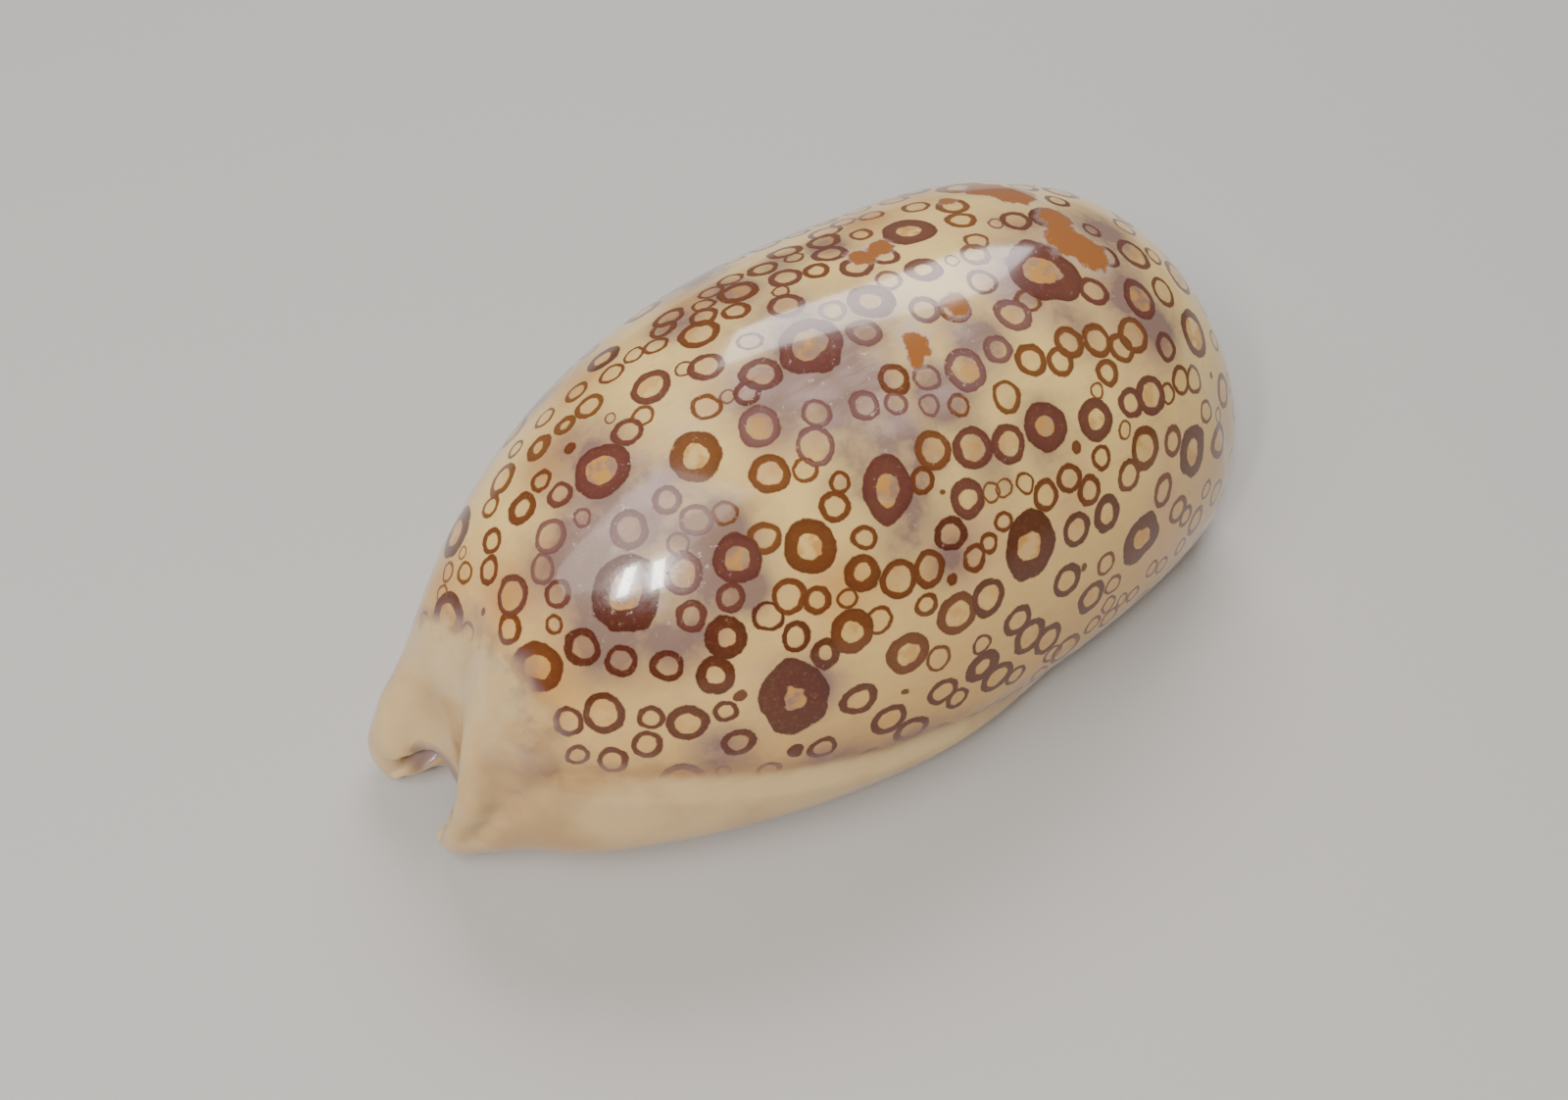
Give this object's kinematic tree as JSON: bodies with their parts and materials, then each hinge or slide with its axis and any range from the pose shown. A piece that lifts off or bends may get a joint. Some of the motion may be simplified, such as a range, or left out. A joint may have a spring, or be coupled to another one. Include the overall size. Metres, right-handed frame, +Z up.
{
  "type": "eyed cowrie shell",
  "caption": "Hollow egg-shaped cowrie shell with ringed eyespots on a glossy cream back, a toothed slit mouth underneath and a notched front end; rests on its base.",
  "frame": {"origin": "middle of the shell's outline on the surface that it rests on", "axes": "+Y along the shell from the notched front end to the spire end, +X towards the inner-lip side, +Z up through the back"},
  "size_m": [0.0462, 0.08, 0.035],
  "materials": {
    "enamel": "glossy"
  },
  "bodies": {
    "root": {"shell": "enamel"}
  },
  "joints": []
}
